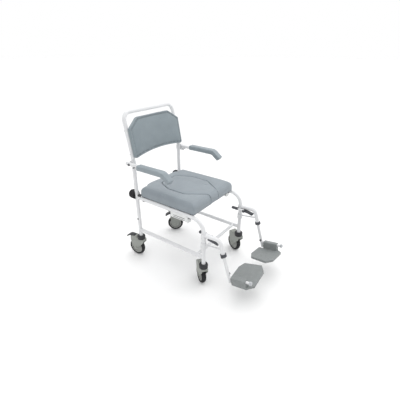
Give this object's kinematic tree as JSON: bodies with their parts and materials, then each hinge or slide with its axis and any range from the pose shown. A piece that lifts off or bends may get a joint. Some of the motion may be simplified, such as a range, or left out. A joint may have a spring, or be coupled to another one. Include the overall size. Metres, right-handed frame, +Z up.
{
  "type": "commode chair",
  "caption": "Mobile shower commode chair: tubular frame on swivel castors, padded seat with lift-out insert, flip-up armrests, swing-away footrests.",
  "frame": {"origin": "on the floor, in the middle of the chair's footprint with its footrests forward", "axes": "+Z up; the sitter faces -Y; +X is towards the sitter's left"},
  "size_m": [0.57, 1.0152, 1.0365],
  "materials": {
    "white_steel": "smooth semi-gloss white powder coat on steel tube",
    "white_cap": "smooth white moulded plastic",
    "white_plastic": "smooth white moulded plastic",
    "seat_cushion": "grey-blue integral-skin polyurethane foam, fine satin grain",
    "seat_insert_cushion": "grey-blue integral-skin polyurethane foam, fine satin grain",
    "back_cushion": "grey-blue integral-skin polyurethane foam, fine satin grain",
    "arm_cushion": "grey-blue integral-skin polyurethane foam, fine satin grain",
    "seat_board": "dark grey laminated board",
    "dark_plastic": "near-black moulded plastic",
    "clip_plastic": "grey moulded plastic",
    "dark_steel": "blackened steel",
    "buffer_rubber": "matt black rubber",
    "dark_grey_plastic": "dark grey moulded plastic",
    "button_plastic": "dark moulded plastic",
    "knob_plastic": "light grey moulded plastic",
    "footplate_plastic": "grey moulded plastic with a fine non-slip grain",
    "castor_cover": "near-black moulded plastic",
    "bright_steel": "zinc-plated steel",
    "castor_fork": "grey moulded nylon",
    "wheel_core": "light grey moulded plastic",
    "tyre": "black solid rubber",
    "brake_pedal": "black moulded plastic"
  },
  "bodies": {
    "frame": {"arm_brackets": "white_steel", "arm_pivots": "dark_steel", "back_frame": "white_steel", "backrest_pad": "back_cushion", "castor_cups": "castor_cover", "castor_stems": "bright_steel", "cross_tubes": "white_steel", "frame_screws": "dark_steel", "hanger_rest_collars": "white_steel", "lower_side_rails": "white_steel", "pan_guides": "white_plastic", "rear_buffers": "buffer_rubber", "rear_leg_left": "white_steel", "rear_leg_right": "white_steel", "seat_board": "seat_board", "seat_clips": "clip_plastic", "seat_hooks": "dark_plastic", "seat_pad": "seat_cushion", "side_frame_left": "white_steel", "side_frame_right": "white_steel"},
    "seat_insert": {"seat_insert": "seat_insert_cushion"},
    "armrest_left": {"armrest_tube_left": "white_steel", "armrest_cap_left": "white_cap", "armrest_pad_left": "arm_cushion"},
    "hanger_left": {"hanger_left": "white_steel", "hanger_collar_left": "dark_grey_plastic"},
    "lever_left": {"release_lever_left": "white_steel", "lever_grips_left": "dark_grey_plastic"},
    "footrest_left": {"footrest_stem_left": "white_steel", "spigot_knob_left": "knob_plastic", "stem_screw_left": "dark_steel"},
    "button_left": {"height_button_left": "button_plastic"},
    "footplate_left": {"footplate_left": "footplate_plastic"},
    "armrest_right": {"armrest_tube_right": "white_steel", "armrest_cap_right": "white_cap", "armrest_pad_right": "arm_cushion"},
    "hanger_right": {"hanger_right": "white_steel", "hanger_collar_right": "dark_grey_plastic"},
    "lever_right": {"release_lever_right": "white_steel", "lever_grips_right": "dark_grey_plastic"},
    "footrest_right": {"footrest_stem_right": "white_steel", "spigot_knob_right": "knob_plastic", "stem_screw_right": "dark_steel"},
    "button_right": {"height_button_right": "button_plastic"},
    "footplate_right": {"footplate_right": "footplate_plastic"},
    "castor_front_left": {"castor_fork_front_left": "castor_fork"},
    "wheel_front_left": {"wheel_core_front_left": "wheel_core", "tyre_front_left": "tyre"},
    "castor_front_right": {"castor_fork_front_right": "castor_fork"},
    "wheel_front_right": {"wheel_core_front_right": "wheel_core", "tyre_front_right": "tyre"},
    "castor_rear_left": {"castor_fork_rear_left": "castor_fork"},
    "wheel_rear_left": {"wheel_core_rear_left": "wheel_core", "tyre_rear_left": "tyre"},
    "brake_rear_left": {"brake_pedal_rear_left": "brake_pedal"},
    "castor_rear_right": {"castor_fork_rear_right": "castor_fork"},
    "wheel_rear_right": {"wheel_core_rear_right": "wheel_core", "tyre_rear_right": "tyre"},
    "brake_rear_right": {"brake_pedal_rear_right": "brake_pedal"}
  },
  "joints": [
    {"name": "seat_insert_lift", "type": "slide", "parent": "frame", "child": "seat_insert", "axis": [0, 0, 1], "range_m": [0, 0.1]},
    {"name": "armrest_left_flip", "type": "hinge", "parent": "frame", "child": "armrest_left", "pos_m": [0.251, 0.3816, 0.718], "axis": [-1, 0, 0], "range_deg": [0, 100]},
    {"name": "hanger_left_swing", "type": "hinge", "parent": "frame", "child": "hanger_left", "pos_m": [0.223, -0.1674, 0.377], "axis": [0, 0, 1], "range_deg": [0, 110]},
    {"name": "lever_left_press", "type": "hinge", "parent": "hanger_left", "child": "lever_left", "pos_m": [0.195, -0.1834, 0.377], "axis": [0, 0, -1], "range_deg": [0, 7], "stiffness_Nm_per_rad": 0.3},
    {"name": "footrest_left_extend", "type": "slide", "parent": "hanger_left", "child": "footrest_left", "axis": [0, -0.2924, -0.9563], "range_m": [-0.02, 0.025]},
    {"name": "button_left_press", "type": "slide", "parent": "hanger_left", "child": "button_left", "axis": [-1, 0, 0], "range_m": [0, 0.003], "stiffness_N_per_m": 300},
    {"name": "footplate_left_flip", "type": "hinge", "parent": "footrest_left", "child": "footplate_left", "pos_m": [0.223, -0.4034, 0.169], "axis": [0, 0.9877, -0.1564], "range_deg": [0, 76]},
    {"name": "armrest_right_flip", "type": "hinge", "parent": "frame", "child": "armrest_right", "pos_m": [-0.251, 0.3816, 0.718], "axis": [-1, 0, 0], "range_deg": [0, 100]},
    {"name": "hanger_right_swing", "type": "hinge", "parent": "frame", "child": "hanger_right", "pos_m": [-0.223, -0.1674, 0.377], "axis": [0, 0, -1], "range_deg": [0, 110]},
    {"name": "lever_right_press", "type": "hinge", "parent": "hanger_right", "child": "lever_right", "pos_m": [-0.195, -0.1834, 0.377], "axis": [0, 0, 1], "range_deg": [0, 7], "stiffness_Nm_per_rad": 0.3},
    {"name": "footrest_right_extend", "type": "slide", "parent": "hanger_right", "child": "footrest_right", "axis": [0, -0.2924, -0.9563], "range_m": [-0.02, 0.025]},
    {"name": "button_right_press", "type": "slide", "parent": "hanger_right", "child": "button_right", "axis": [1, 0, 0], "range_m": [0, 0.003], "stiffness_N_per_m": 300},
    {"name": "footplate_right_flip", "type": "hinge", "parent": "footrest_right", "child": "footplate_right", "pos_m": [-0.223, -0.4034, 0.169], "axis": [0, -0.9877, 0.1564], "range_deg": [0, 76]},
    {"name": "castor_front_left_swivel", "type": "hinge", "parent": "frame", "child": "castor_front_left", "pos_m": [0.223, -0.1674, 0.145], "axis": [0, 0, 1], "continuous": true},
    {"name": "wheel_front_left_roll", "type": "hinge", "parent": "castor_front_left", "child": "wheel_front_left", "pos_m": [0.2409, -0.1272, 0.0625], "axis": [-0.9135, 0.4067, 0], "continuous": true},
    {"name": "castor_front_right_swivel", "type": "hinge", "parent": "frame", "child": "castor_front_right", "pos_m": [-0.223, -0.1674, 0.145], "axis": [0, 0, 1], "continuous": true},
    {"name": "wheel_front_right_roll", "type": "hinge", "parent": "castor_front_right", "child": "wheel_front_right", "pos_m": [-0.19714, -0.1318, 0.0625], "axis": [-0.809, 0.5878, 0], "continuous": true},
    {"name": "castor_rear_left_swivel", "type": "hinge", "parent": "frame", "child": "castor_rear_left", "pos_m": [0.223, 0.3816, 0.145], "axis": [0, 0, 1], "continuous": true},
    {"name": "wheel_rear_left_roll", "type": "hinge", "parent": "castor_rear_left", "child": "wheel_rear_left", "pos_m": [0.19472, 0.41531, 0.0625], "axis": [-0.766, -0.6428, 0], "continuous": true},
    {"name": "brake_rear_left_press", "type": "hinge", "parent": "castor_rear_left", "child": "brake_rear_left", "pos_m": [0.18315, 0.4291, 0.15], "axis": [-0.766, -0.6428, 0], "range_deg": [0, 9]},
    {"name": "castor_rear_right_swivel", "type": "hinge", "parent": "frame", "child": "castor_rear_right", "pos_m": [-0.223, 0.3816, 0.145], "axis": [0, 0, 1], "continuous": true},
    {"name": "wheel_rear_right_roll", "type": "hinge", "parent": "castor_rear_right", "child": "wheel_rear_right", "pos_m": [-0.22836, 0.42527, 0.0625], "axis": [-0.9925, -0.1219, 0], "continuous": true},
    {"name": "brake_rear_right_press", "type": "hinge", "parent": "castor_rear_right", "child": "brake_rear_right", "pos_m": [-0.23056, 0.44314, 0.15], "axis": [-0.9925, -0.1219, 0], "range_deg": [0, 9]}
  ]
}
